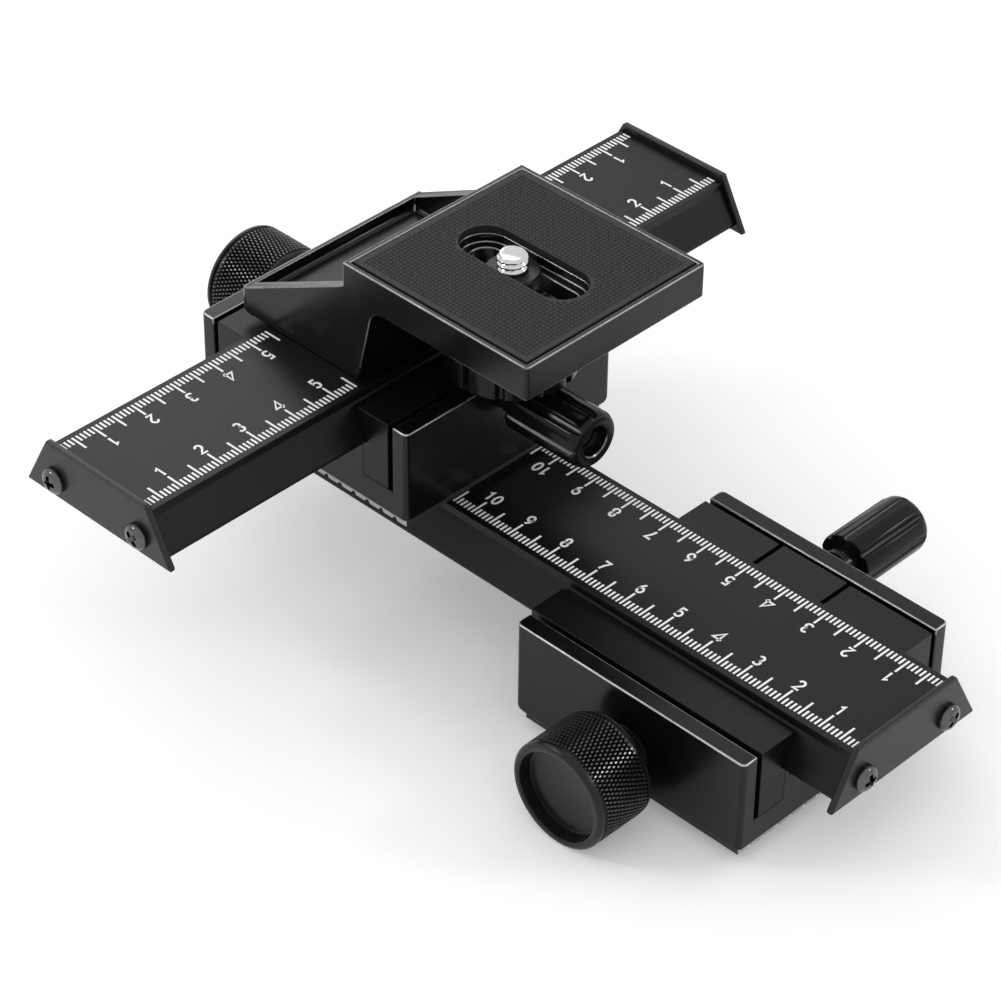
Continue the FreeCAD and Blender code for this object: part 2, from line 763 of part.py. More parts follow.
def camera_bracket():
    """Casting: foot with an upturned rim, two gussets, a web and the camera plate."""
    plate_top = plate_height - plate_pad_proud
    plate_under = plate_height - plate_thickness
    rim_bevel_end = foot_start + rim_bevel_width
    side_view = [(web_foot, 0), (foot_start, 0), (foot_start, rim_height - rim_bevel_height),
                 (rim_bevel_end, rim_height), (rim_bevel_end + rim_top_width, rim_height),
                 (plate_start - gusset_step_width, gusset_top),
                 (plate_start, gusset_top + gusset_step_height),
                 (plate_start, plate_top), (plate_start + plate_size, plate_top),
                 (plate_start + plate_size, plate_under), (web_top, plate_under)]
    points = [bracket_point(x, z) for x, z in side_view]
    body = prism(points, Y_AXIS * plate_size)
    body = body.makeFillet(foot_round, edges_along(body, Y_AXIS, at_foot_corner))
    body = body.makeFillet(web_round, edges_along(body, Y_AXIS, at_web_corner))
    body = body.common(bracket_plan())
    body = body.cut(bracket_pocket())
    body = body.cut(plate_pad(plate_groove, past, False))
    body = body.cut(camera_slot())
    for place, depth in bracket_screw_places():
        body = body.cut(peg(bracket_screw_radius + fit_gap, place, place + Z_AXIS * depth))
    return body


def bracket_plan():
    """Upright block with the bracket's outline from above, its corners rounded."""
    low = bracket_point(foot_start, 0)
    high = bracket_point(plate_start + plate_size, plate_height)
    plan = box(low.x, high.x, low.y, low.y + plate_size, low.z, high.z)
    plan = plan.makeFillet(foot_corner, edges_along(plan, Z_AXIS, lambda middle: middle.x < upper_stage_x))
    return plan.makeFillet(plate_corner, edges_along(plan, Z_AXIS, lambda middle: middle.x > upper_stage_x))


def at_foot_corner(middle):
    """True for the lower outer edge of the foot."""
    return (middle - bracket_point(foot_start, 0)).cross(Y_AXIS).Length < 0.01


def at_web_corner(middle):
    """True for the inner edge between the web and the plate."""
    corner = bracket_point(web_top, plate_height - plate_thickness)
    return (middle - corner).cross(Y_AXIS).Length < 0.01


def bracket_pocket():
    """Hollow between the gussets, behind the web, open at the top."""
    top = plate_height + past
    side_view = [(foot_start + rim_thickness, pocket_floor), (web_back, pocket_floor),
                 (plate_start, web_back_top), (plate_start, top), (foot_start + rim_thickness, top)]
    inset = Y_AXIS * gusset_thickness
    points = [bracket_point(x, z) + inset for x, z in side_view]
    pocket = prism(points, Y_AXIS * (plate_size - 2 * gusset_thickness))

    def on_floor(middle):
        return abs(middle.z - rail_top_above - pocket_floor) < 0.01

    floor_edges = edges_along(pocket, Y_AXIS, on_floor) + edges_along(pocket, X_AXIS, on_floor)
    return pocket.makeFillet(pocket_round, floor_edges)


def plate_pad(gap=0.0, stand=0.0, with_slot=True):
    """Rubber top of the camera plate, inside its rim and a narrow groove."""
    inset = plate_rim + plate_groove - gap
    x0 = upper_stage_x + plate_start + inset
    x1 = upper_stage_x + plate_start + plate_size - inset
    half = plate_size / 2 - inset
    top = rail_top_above + plate_height
    pad = box(x0, x1, upper_stage_y - half, upper_stage_y + half, top - plate_pad_thickness, top + stand)
    if with_slot:
        pad = pad.cut(slotted(upper_stage_x + slot_centre, upper_stage_y, slot_length, slot_width,
                              top - plate_thickness, top + past))
    return pad


def camera_slot():
    """Stepped slot of the camera screw: wide above, narrow through the rest."""
    top = rail_top_above + plate_height
    centre = upper_stage_x + slot_centre
    wide = slotted(centre, upper_stage_y, slot_length, slot_width, top - slot_ledge_depth, top + past)
    narrow_length = slot_length - slot_width + slot_narrow_width
    narrow = slotted(centre, upper_stage_y, narrow_length, slot_narrow_width,
                     top - plate_thickness - past, top)
    return wide.fuse(narrow)


def bracket_screw_places():
    """Screw places on the rail's top, with the depth of each in the bracket."""
    places = []
    for x, depth in ((bracket_screw_front, 2 * pocket_floor), (bracket_screw_back, pocket_floor)):
        for side in (-1, 1):
            place = V(upper_stage_x + x, upper_stage_y + side * bracket_screw_spread / 2, rail_top_above)
            places.append((place, depth - bracket_screw_cover))
    return places


def bracket_screws():
    """Screws from inside the upper rail up into the bracket's foot."""
    seat = rail_top_above - rail_height + bracket_screw_head_height
    screws = []
    for place, depth in bracket_screw_places():
        screw = headed_screw(bracket_screw_head_radius, bracket_screw_head_height, bracket_screw_radius,
                             rail_top_above + depth - seat)
        screws.append(placed(screw, V(place.x, place.y, seat)))
    return Part.Compound(screws)


def bracket_screw_space():
    """Stepped holes for those screws through the upper rail."""
    under = rail_top_above - rail_height - past
    seat = rail_top_above - rail_height + bracket_screw_head_height
    holes = []
    for place, depth in bracket_screw_places():
        foot = V(place.x, place.y, under)
        head = peg(bracket_screw_head_radius + fit_gap, foot, V(place.x, place.y, seat), head_sides)
        holes.append(head.fuse(peg(bracket_screw_radius + fit_gap, foot, place + Z_AXIS * past)))
    return Part.Compound(holes)


# ---------------------------------------------------------------- camera screw
def screw_axis(z):
    """Point on the camera screw's axis at a height above the upper rail's top."""
    return V(upper_stage_x + camera_screw_x, upper_stage_y, rail_top_above + z)


def washer_seat():
    return plate_height - slot_ledge_depth


def slot_washer():
    """Flat washer that slides in the wide part of the slot and holds the screw's neck."""
    bottom = screw_axis(washer_seat())
    ring = rod(slot_width / 2 - washer_side_gap, bottom, bottom + Z_AXIS * slot_washer_thickness)
    return ring.cut(rod(camera_screw_neck + running_gap, bottom, bottom + Z_AXIS * slot_washer_thickness))


def hub_top():
    return captive_knob_foot + captive_knob_grip + captive_hub_height


def camera_screw():
    """1/4 inch screw, necked below its thread so that it can drop and still be held."""
    tip = plate_height + camera_screw_stand
    shoulder = washer_seat() + slot_washer_thickness + running_gap
    neck = rod(camera_screw_neck, screw_axis(captive_knob_foot), screw_axis(shoulder))
    return neck.fuse(rod(camera_screw_radius, screw_axis(shoulder), screw_axis(tip)))


def captive_knob():
    """Fluted thumb knob on the camera screw, with a round hub above its grip."""
    grip = fluted(captive_knob_radius, captive_flute_width, captive_flute_depth, captive_flutes,
                  captive_knob_grip)
    hub = captive_knob_grip + captive_hub_height
    grip = grip.fuse(rod(captive_hub_radius, V(0, 0, captive_knob_grip), V(0, 0, hub)))
    grip = grip.cut(rod(camera_screw_neck + fit_gap, V(0, 0, -past), V(0, 0, hub + past)))
    return placed(grip, screw_axis(captive_knob_foot))


def hub_washer():
    """Thin washer that rides on the hub and bears on the plate when it is tightened."""
    bottom = screw_axis(hub_top())
    ring = peg(hub_washer_radius, bottom, bottom + Z_AXIS * hub_washer_thickness, bush_sides)
    return ring.cut(rod(camera_screw_neck + running_gap, bottom, bottom + Z_AXIS * hub_washer_thickness))


# ---------------------------------------------------------------- whole rail
def set_upper(pieces):
    """Turn pieces of the stage frame a quarter and set them on the lower rail."""
    place = FreeCAD.Placement(V(upper_stage_x, upper_stage_y, stage_height),
                              FreeCAD.Rotation(Z_AXIS, -90))
    moved = {}
    for name, shape in pieces.items():
        moved[name] = shape.copy()
        moved[name].Placement = place.multiply(shape.Placement)
    return moved


def all_pieces():
    pieces = carriage("base")
    pieces.update(slide("lower", lower_rail_centre))
    pieces.update(set_upper(carriage("upper")))
    pieces.update(set_upper(slide("upper", upper_rail_centre)))

    bolt_seat = rail_bottom + bolt_head_height
    pin_holes = locating_pins(fit_gap)
    pieces["lower_rail"] = pieces["lower_rail"].cut(bolt_space(bolt_seat)).cut(pin_holes)
    pieces["upper_block"] = pieces["upper_block"].cut(pin_holes)
    pieces["upper_pad"] = pieces["upper_pad"].cut(pin_holes).cut(end_plate_relief())
    pieces["joining_bolt"] = joining_bolt(bolt_seat)
    pieces["locating_pins"] = locating_pins()

    pieces["upper_rail"] = pieces["upper_rail"].cut(bracket_screw_space())
    pieces["camera_bracket"] = camera_bracket()
    pieces["bracket_screws"] = bracket_screws()
    pieces["camera_plate_pad"] = plate_pad()
    pieces["slot_washer"] = slot_washer()
    pieces["hub_washer"] = hub_washer()
    pieces["camera_screw"] = camera_screw()
    pieces["captive_knob"] = captive_knob()
    return pieces


os.makedirs("parts", exist_ok=True)
for node, shape in all_pieces().items():
    shape.exportStep("parts/" + node + ".step")
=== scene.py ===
import math

import bmesh
import bpy
from mathutils import Matrix, Vector


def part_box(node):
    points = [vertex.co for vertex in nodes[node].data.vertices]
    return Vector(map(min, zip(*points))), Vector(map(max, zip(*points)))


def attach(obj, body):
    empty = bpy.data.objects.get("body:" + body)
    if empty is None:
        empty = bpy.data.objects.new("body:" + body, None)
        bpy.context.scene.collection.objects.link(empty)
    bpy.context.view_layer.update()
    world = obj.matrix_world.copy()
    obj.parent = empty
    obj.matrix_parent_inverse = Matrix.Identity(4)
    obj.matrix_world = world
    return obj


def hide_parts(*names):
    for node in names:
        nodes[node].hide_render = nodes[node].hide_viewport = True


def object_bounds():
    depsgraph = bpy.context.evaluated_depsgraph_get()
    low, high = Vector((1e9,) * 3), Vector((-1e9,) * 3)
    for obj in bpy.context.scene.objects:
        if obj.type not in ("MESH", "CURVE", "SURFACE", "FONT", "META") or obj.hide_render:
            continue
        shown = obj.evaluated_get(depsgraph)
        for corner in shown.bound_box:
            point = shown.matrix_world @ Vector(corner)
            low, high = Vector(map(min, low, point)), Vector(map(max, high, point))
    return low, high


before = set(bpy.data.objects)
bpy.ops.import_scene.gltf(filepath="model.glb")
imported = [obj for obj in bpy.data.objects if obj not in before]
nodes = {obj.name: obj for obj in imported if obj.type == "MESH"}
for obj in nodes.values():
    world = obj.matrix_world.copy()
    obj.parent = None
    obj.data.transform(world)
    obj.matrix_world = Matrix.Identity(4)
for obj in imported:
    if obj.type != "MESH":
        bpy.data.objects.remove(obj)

# Macro focusing rail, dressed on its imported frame. Sizes are in metres, written as
# millimetres times mm; places come from the frame's own boxes. Both stages are one design,
# so their pieces are made once in a stage frame (x along the rail, focus knob at -y, z = 0
# at the block's resting face) and set down with STAGES[...].

mm = 0.001
cad_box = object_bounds()


def middle(node):
    """Middle of a node's box."""
    low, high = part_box(node)
    return (low + high) / 2


# ---------------------------------------------------------------- stage frames
upper_origin = middle("upper_bush")
upper_origin.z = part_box("upper_bush")[0].z
STAGES = {
    "base": Matrix.Identity(4),
    "upper": Matrix.Translation(upper_origin) @ Matrix.Rotation(-math.pi / 2, 4, "Z"),
}
STAGE_RAIL = {"base": "lower", "upper": "upper"}     # what each stage calls its rail


def stage_box(stage, node):
    """Lowest and highest corners of a node in its stage's own frame."""
    corners = [STAGES[stage].inverted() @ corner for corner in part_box(node)]
    low = Vector([min(pair) for pair in zip(*corners)])
    high = Vector([max(pair) for pair in zip(*corners)])
    return low, high


# ---------------------------------------------------------------- objects and meshes
def set_down(name, data):
    """An object with this data, linked to the scene."""
    made = bpy.data.objects.new(name, data)
    bpy.context.scene.collection.objects.link(made)
    return made


def mesh_of(name, bm):
    """A mesh from a bmesh, which is freed."""
    mesh = bpy.data.meshes.new(name)
    bm.normal_update()
    bm.to_mesh(mesh)
    bm.free()
    return mesh


# ---------------------------------------------------------------- camera
camera_place = Vector((345.898, -421.460, 474.733)) * mm
camera_turn = (52.0976, -0.5606, 44.5071)      # degrees about x, y and z
camera_lens = 133.11                           # millimetres, for the sensor below
camera_sensor = 36.0
nearest_seen = 0.01
farthest_seen = 20.0

camera_data = bpy.data.cameras.new("camera")
camera = set_down("camera", camera_data)
camera.location = camera_place
camera.rotation_euler = [math.radians(angle) for angle in camera_turn]
camera_data.lens = camera_lens
camera_data.sensor_width = camera_sensor
camera_data.clip_start = nearest_seen
camera_data.clip_end = farthest_seen
bpy.context.scene.camera = camera
bpy.context.scene.view_settings.view_transform = "Standard"


# ---------------------------------------------------------------- materials
noise_range = (0.25, 0.75)                 # nearly all of a noise texture lies in here
mix_factor, mix_first, mix_second = 0, 6, 7      # inputs of a Mix node that mixes colours
mix_result = 2                                   # and its output


class Recipe:
    """One procedural material, built up from noise."""

    def __init__(self, name):
        self.material = bpy.data.materials.new(name)
        self.material.use_nodes = True
        self.tree = self.material.node_tree
        self.shader = self.tree.nodes["Principled BSDF"]
        coordinates = self.tree.nodes.new("ShaderNodeTexCoord")
        self.place = coordinates.outputs["Object"]
        self.facing = coordinates.outputs["Normal"]

    def node(self, kind, **inputs):
        """A node whose named inputs are linked, or set where they are plain values."""
        made = self.tree.nodes.new(kind)
        for key, value in inputs.items():
            name = key.replace("_", " ")
            if hasattr(value, "is_linked"):
                self.tree.links.new(value, made.inputs[name])
            else:
                made.inputs[name].default_value = value
        return made

    def noise(self, size, detail=3.0, scale=(1, 1, 1)):
        """Noise whose features are about `size` metres across."""
        stretched = self.node("ShaderNodeMapping", Vector=self.place, Scale=scale)
        made = self.node("ShaderNodeTexNoise", Vector=stretched.outputs["Vector"],
                         Scale=1 / size, Detail=detail)
        return made.outputs["Fac"]

    def spread(self, value, source, target=(0.0, 1.0)):
        """Map one range of a value on to another and stay inside it."""
        made = self.node("ShaderNodeMapRange", Value=value, From_Min=source[0],
                         From_Max=source[1], To_Min=target[0], To_Max=target[1])
        return made.outputs["Result"]

    def maths(self, operation, first, second=None):
        """One Math node on one or two linked values."""
        made = self.node("ShaderNodeMath", Value=first)
        made.operation = operation
        if second is not None:
            self.tree.links.new(second, made.inputs[1])
        return made.outputs[0]

    def colours(self, value, dark, light):
        """Colour that runs from dark to light with a value."""
        made = self.tree.nodes.new("ShaderNodeMix")
        made.data_type = "RGBA"
        self.tree.links.new(value, made.inputs[mix_factor])
        made.inputs[mix_first].default_value = (*dark, 1)
        made.inputs[mix_second].default_value = (*light, 1)
        self.tree.links.new(made.outputs[mix_result], self.shader.inputs["Base Color"])

    def rough(self, patch, smoothest, roughest):
        """Roughness that wanders between two values, in patches of this noise."""
        level = self.spread(patch, noise_range, (smoothest, roughest))
        self.tree.links.new(level, self.shader.inputs["Roughness"])

    def bump(self, height, depth, strength, below=None):
        """Bumps of a height in metres, on top of the bumps below."""
        made = self.node("ShaderNodeBump", Height=height, Distance=depth, Strength=strength)
        if below is not None:
            self.tree.links.new(below, made.inputs["Normal"])
        self.tree.links.new(made.outputs["Normal"], self.shader.inputs["Normal"])
        return made.outputs["Normal"]

    def fixed(self, **values):
        """Plain values, straight on the shader."""
        for key, value in values.items():
            self.shader.inputs[key.replace("_", " ")].default_value = value


def plain_finish(name, patch, dark, light, sheen_patch, rough, grain, grain_depth,
                 grain_strength, grain_detail=3.0, **fixed):
    """Colour and sheen that vary in patches, and a fine grain. Sizes are in metres."""
    m = Recipe(name)
    m.colours(m.noise(patch), dark, light)
    m.rough(m.noise(sheen_patch), *rough)
    m.bump(m.noise(grain, grain_detail), grain_depth, grain_strength)
    m.fixed(**fixed)
    return m.material


def casting_enamel():
    """Semi-gloss black enamel over a die casting: faint orange peel, slightly uneven sheen."""
    m = Recipe("casting_enamel")
    m.colours(m.noise(9 * mm), dark=(0.0022, 0.0022, 0.0028), light=(0.0045, 0.0045, 0.0052))
    m.rough(m.noise(4 * mm), smoothest=0.2, roughest=0.28)
    peel = m.bump(m.noise(1.4 * mm, detail=1.0), depth=0.008 * mm, strength=0.25)
    m.bump(m.noise(0.16 * mm, detail=1.0), depth=0.0015 * mm, strength=0.4, below=peel)
    m.fixed(Specular_IOR_Level=0.26)
    return m.material


grain_stretch = 0.03       # the grain's scale along the extrusion


def drawn_anodising(axis):
    """Black anodised extrusion with a fine grain along one axis."""
    m = Recipe("drawn_anodising_" + "xyz"[axis])
    along = [1.0, 1.0, 1.0]
    along[axis] = grain_stretch
    grain = m.noise(0.16 * mm, scale=along)
    m.colours(grain, dark=(0.0022, 0.0022, 0.0027), light=(0.005, 0.005, 0.0058))
    m.rough(m.noise(5 * mm), smoothest=0.31, roughest=0.34)
    m.bump(grain, depth=0.004 * mm, strength=0.3)
    m.fixed(Specular_IOR_Level=0.22)
    return m.material


block_highlight_depth = 0.7 * mm        # how far below the top of a casting its edges carry the painted highlight
bracket_highlight_depth = 22.0 * mm
highlight_fade = 0.8 * mm
block_highlight = 0.42                  # how light the painted highlight on the edges is
bracket_highlight = 0.24
highlight_patches = (0.65, 1.0)         # least and most of that, from patch to patch


def edge_highlight(node, depth, highlight_level):
    """Edges near the top of a casting, painted light and metallic: a painted highlight where light
    catches the top edges.
    """
    m = Recipe("edge_highlight_" + node)
    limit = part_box(node)[1].z - depth
    height = m.node("ShaderNodeSeparateXYZ", Vector=m.place).outputs["Z"]
    # painted highlight: a band of edge near the top turns light and metallic, in patches
    highlit_band = m.spread(height, (limit - highlight_fade, limit))
    patchy = m.spread(m.noise(5 * mm, detail=1.0), noise_range, highlight_patches)
    highlight_mask = m.maths("MULTIPLY", highlit_band, patchy)
    m.colours(highlight_mask, dark=(0.004, 0.004, 0.0046), light=(highlight_level, highlight_level, highlight_level))
    m.tree.links.new(highlit_band, m.shader.inputs["Metallic"])
    m.rough(m.noise(3 * mm, detail=1.0), smoothest=0.24, roughest=0.32)
    m.bump(m.noise(0.5 * mm, detail=1.0), depth=0.002 * mm, strength=0.2)
    m.fixed(Specular_IOR_Level=0.26)
    return m.material


pale_rib_patches = (0.75, 1.0)         # least and most paleness on a rib's end


def foot_rubber(axis):
    """Ribbed foot: dark moulded skin, pale grey on the faces where the ribs end along one axis."""
    m = Recipe("foot_rubber_" + "xyz"[axis])
    turned = m.node("ShaderNodeSeparateXYZ", Vector=m.facing).outputs[axis]
    patchy = m.spread(m.noise(1.5 * mm), noise_range, pale_rib_patches)
    pale_rib_ends = m.maths("MULTIPLY", patchy, m.maths("ABSOLUTE", turned))
    m.colours(pale_rib_ends, dark=(0.02, 0.02, 0.021), light=(0.52, 0.52, 0.52))
    m.rough(m.noise(0.8 * mm), smoothest=0.6, roughest=0.8)
    m.bump(m.noise(0.15 * mm, detail=4.0), depth=0.01 * mm, strength=0.5)
    return m.material


def sheet_anodising():
    """Black anodised sheet of the end plates."""
    return plain_finish(
        "sheet_anodising", patch=6 * mm, dark=(0.004, 0.004, 0.0048),
        light=(0.008, 0.008, 0.009), sheen_patch=2 * mm, rough=(0.26, 0.36),
        grain=0.2 * mm, grain_depth=0.003 * mm, grain_strength=0.3, Specular_IOR_Level=0.36)


def knob_anodising():
    """Black anodised bar of the focus knobs."""
    return plain_finish(
        "knob_anodising", patch=4 * mm, dark=(0.003, 0.003, 0.0036),
        light=(0.006, 0.006, 0.0068), sheen_patch=1.5 * mm, rough=(0.22, 0.32),
        grain=0.15 * mm, grain_depth=0.002 * mm, grain_strength=0.3, Specular_IOR_Level=0.3)


def knurl_crest():
    """Flattened tips of the knurl, painted lighter and metallic than the valleys: a painted
    highlight on the crests.
    """
    return plain_finish(
        "knurl_crest", patch=0.9 * mm, dark=(0.07, 0.07, 0.072), light=(0.18, 0.18, 0.182),
        sheen_patch=0.5 * mm, rough=(0.18, 0.3), grain=0.15 * mm, grain_depth=0.002 * mm,
        grain_strength=0.3, Metallic=1.0)


def glossy_knob():
    """Glossy black finish of the lock knobs and the captive knob."""
    return plain_finish(
        "glossy_knob", patch=5 * mm, dark=(0.003, 0.003, 0.0036),
        light=(0.006, 0.006, 0.0068), sheen_patch=2 * mm, rough=(0.14, 0.22),
        grain=0.8 * mm, grain_depth=0.005 * mm, grain_strength=0.25, grain_detail=1.0,
        Specular_IOR_Level=0.2)


def matt_rubber():
    """Rubber of the camera plate's pad."""
    return plain_finish(
        "matt_rubber", patch=1.2 * mm, dark=(0.006, 0.006, 0.0068),
        light=(0.014, 0.014, 0.015), sheen_patch=0.8 * mm, rough=(0.5, 0.66),
        grain=0.12 * mm, grain_depth=0.01 * mm, grain_strength=0.5, grain_detail=4.0,
        Specular_IOR_Level=0.4)


def bright_steel():
    """Polished steel of the camera screw, the lock screws, the bushes and the pins."""
    return plain_finish(
        "bright_steel", patch=1.5 * mm, dark=(0.52, 0.52, 0.53), light=(0.68, 0.68, 0.68),
        sheen_patch=0.7 * mm, rough=(0.08, 0.16), grain=0.1 * mm, grain_depth=0.002 * mm,
        grain_strength=0.3, Metallic=1.0)


def machined_steel():
    """Machined steel of the racks and pinions."""
    return plain_finish(
        "machined_steel", patch=1.2 * mm, dark=(0.42, 0.42, 0.43), light=(0.58, 0.58, 0.58),
        sheen_patch=0.5 * mm, rough=(0.25, 0.4), grain=0.15 * mm, grain_depth=0.004 * mm,
        grain_strength=0.4, Metallic=1.0)


def sintered_bronze():
    """Porous bronze of the shaft bushes."""
    return plain_finish(
        "sintered_bronze", patch=0.6 * mm, dark=(0.42, 0.27, 0.12), light=(0.55, 0.38, 0.19),
        sheen_patch=0.4 * mm, rough=(0.35, 0.5), grain=0.12 * mm, grain_depth=0.01 * mm,
        grain_strength=0.6, grain_detail=4.0, Metallic=1.0)


def black_oxide():
    """Blackened steel of the screws."""
    return plain_finish(
        "black_oxide", patch=0.8 * mm, dark=(0.08, 0.08, 0.082), light=(0.14, 0.14, 0.142),
        sheen_patch=0.5 * mm, rough=(0.08, 0.14), grain=0.12 * mm, grain_depth=0.003 * mm,
        grain_strength=0.4, Metallic=1.0)


def black_acetal():
    """Black acetal of the washers."""
    return plain_finish(
        "black_acetal", patch=1.5 * mm, dark=(0.008, 0.008, 0.009),
        light=(0.014, 0.014, 0.015), sheen_patch=0.8 * mm, rough=(0.3, 0.45),
        grain=0.15 * mm, grain_depth=0.003 * mm, grain_strength=0.4)


def scale_print():
    """White ink with slight unevenness."""
    return plain_finish(
        "scale_print", patch=0.25 * mm, dark=(0.88, 0.88, 0.88), light=(0.95, 0.95, 0.95),
        sheen_patch=0.3 * mm, rough=(0.45, 0.6), grain=0.1 * mm, grain_depth=0.004 * mm,
        grain_strength=0.5)


MATERIALS = {
    "casting": casting_enamel(),
    "rail_x": drawn_anodising(0),
    "rail_y": drawn_anodising(1),
    "plate": sheet_anodising(),
    # the castings' edges carry a painted highlight near their tops
    "base_edge": edge_highlight("base_block", block_highlight_depth, block_highlight),
    "upper_edge": edge_highlight("upper_block", block_highlight_depth, block_highlight),
    "bracket_edge": edge_highlight("camera_bracket", bracket_highlight_depth, bracket_highlight),
    "knurled": knob_anodising(),
    "crest": knurl_crest(),
    "glossy": glossy_knob(),
    "rubber": matt_rubber(),
    "foot_x": foot_rubber(0),
    "foot_y": foot_rubber(1),
    "bright": bright_steel(),
    "machined": machined_steel(),
    "bronze": sintered_bronze(),
    "oxide": black_oxide(),
    "acetal": black_acetal(),
    "print": scale_print(),
}


# ---------------------------------------------------------------- dressing the CAD nodes
weld_distance = 0.002 * mm
edge_segments = 3
edge_angle = 28              # degrees; edges that turn less aren't rounded
normals_weight = 100

# node ending, material, edge radius in millimetres, material of its edges; the first row
# whose ending fits a node counts
DRESS = [
    ("base_block", "casting", 0.3, "base_edge"),
    ("upper_block", "casting", 0.3, "upper_edge"),
    ("camera_bracket", "casting", 0.3, "bracket_edge"),
    ("_fixed_jaw", "rail", 0.15, None),
    ("_lock_jaws", "rail", 0.15, None),
    ("_clamp_pad", "rail", 0.15, None),
    ("_rail", "rail", 0.15, None),
    ("_end_plates", "plate", 0.4, None),
    ("camera_plate_pad", "rubber", 0.12, None),
    ("_pad", "foot", 0.1, None),
    ("_rack", "machined", 0.0, None),
    ("_pinion", "machined", 0.0, None),
    ("_focus_bush", "bronze", 0.1, None),
    ("_set_screw", "oxide", 0.0, None),
    ("_lock_screw", "bright", 0.15, None),
    ("_thrust_washer", "acetal", 0.0, None),
    ("_washer", "acetal", 0.08, None),
    ("_bush", "bright", 0.12, None),
    ("joining_bolt", "bright", 0.0, None),
    ("locating_pins", "bright", 0.0, None),
    ("camera_screw", "bright", 0.0, None),
    ("_screws", "oxide", 0.0, None),
    ("_knob", "glossy", 0.0, None),
]


def soften(piece, width, edge_slot):
    """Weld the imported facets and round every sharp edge."""
    for polygon in piece.data.polygons:
        polygon.use_smooth = True
    weld = piece.modifiers.new("weld", "WELD")
    weld.merge_threshold = weld_distance
    bevel = piece.modifiers.new("edges", "BEVEL")
    bevel.width = width
    bevel.segments = edge_segments
    bevel.limit_method = "ANGLE"
    bevel.angle_limit = math.radians(edge_angle)
    bevel.use_clamp_overlap = False
    bevel.loop_slide = False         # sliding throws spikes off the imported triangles
    bevel.material = edge_slot
    normals = piece.modifiers.new("normals", "WEIGHTED_NORMAL")
    normals.weight = normals_weight


def finish_of(node, material):
    """Rail grain and foot ribs run along x on the lower stage and along y on the upper."""
    if material not in ("rail", "foot"):
        return material
    return material + ("_x" if node.startswith(("base", "lower")) else "_y")


def dress(name, piece):
    """Give a CAD node its material, and round its edges where its row says so."""
    for ending, material, radius, edge in DRESS:
        if name.endswith(ending):
            piece.data.materials.clear()
            piece.data.materials.append(MATERIALS[finish_of(name, material)])
            if edge:
                piece.data.materials.append(MATERIALS[edge])
            if radius > 0:
                edge_slot = 1 if edge else -1        # -1 leaves an edge its faces' material
                soften(piece, radius * mm, edge_slot)
            return
    raise ValueError("no finish for " + name)


# ---------------------------------------------------------------- making pieces
SQUARE = ((-1, -1), (1, -1), (1, 1), (-1, 1))     # signs of a square's corners


def loft(bm, rings, slots=None):
    """Skin a row of rings. A ring of one vertex closes an end; slots name other materials."""
    for order, (first, second) in enumerate(zip(rings, rings[1:])):
        count = max(len(first), len(second))
        for n in range(count):
            after = (n + 1) % count
            if len(first) == 1:
                face = bm.faces.new((first[0], second[after], second[n]))
            elif len(second) == 1:
                face = bm.faces.new((first[n], first[after], second[0]))
            else:
                face = bm.faces.new((first[n], first[after], second[after], second[n]))
            face.material_index = (slots or {}).get(order, 0)


def four_sided(bm, low, high):
    """Closed block between two rings of four vertices, both counterclockwise from above."""
    bm.faces.new(list(reversed(low)))
    bm.faces.new(high)
    for k in range(4):
        after = (k + 1) % 4
        bm.faces.new((low[k], low[after], high[after], high[k]))


def quarter_turn(steps):
    """Angles from 0 to a right angle, both included."""
    return [math.pi / 2 * n / steps for n in range(steps + 1)]


def new_piece(name, bm, materials, body, replaced=(), crease=None):
    """Object from a bmesh: its materials, its body, the nodes it stands for, and the angle
    in degrees beyond which an edge stays sharp."""
    piece = set_down(name, mesh_of(name, bm))
    for material in materials.split():
        piece.data.materials.append(MATERIALS[material])
    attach(piece, body)
    if replaced:
        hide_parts(*replaced)
    if crease is not None:
        for polygon in piece.data.polygons:
            polygon.use_smooth = True
        piece.data.set_sharp_from_angle(angle=math.radians(crease))


# ---------------------------------------------------------------- printed scales
scale_zero_beyond_rail = 1.0 * mm     # the zero lies at the outer face of the end plate
first_tick = 2                        # in millimetres from the zero
long_tick_every = 5
number_every = 10
tick_outer = 13.1 * mm                # from the rail's centre line
short_tick = 2.0 * mm
long_tick = 4.3 * mm
tick_width = 0.46 * mm
ink_thickness = 0.04 * mm
digit_height = 3.1 * mm
digit_gap = 0.45 * mm                 # between a long tick and a number
digit_width = 0.6                     # in digit heights, as the pitch is
digit_pitch = 0.66
stroke_width = 0.5 * mm
same_point = 1e-6                     # a stroke whose ends are this near is closed
sharpest_corner = 0.5                 # limits to how far a stroke widens at a corner
widest_corner = 1.6


def arc(centre_x, centre_y, radius_x, radius_y, start, end, steps=12):
    """Points on an ellipse between two angles in degrees."""
    points = []
    for n in range(steps + 1):
        angle = math.radians(start + (end - start) * n / steps)
        points.append((centre_x + radius_x * math.cos(angle),
                       centre_y + radius_y * math.sin(angle)))
    return points


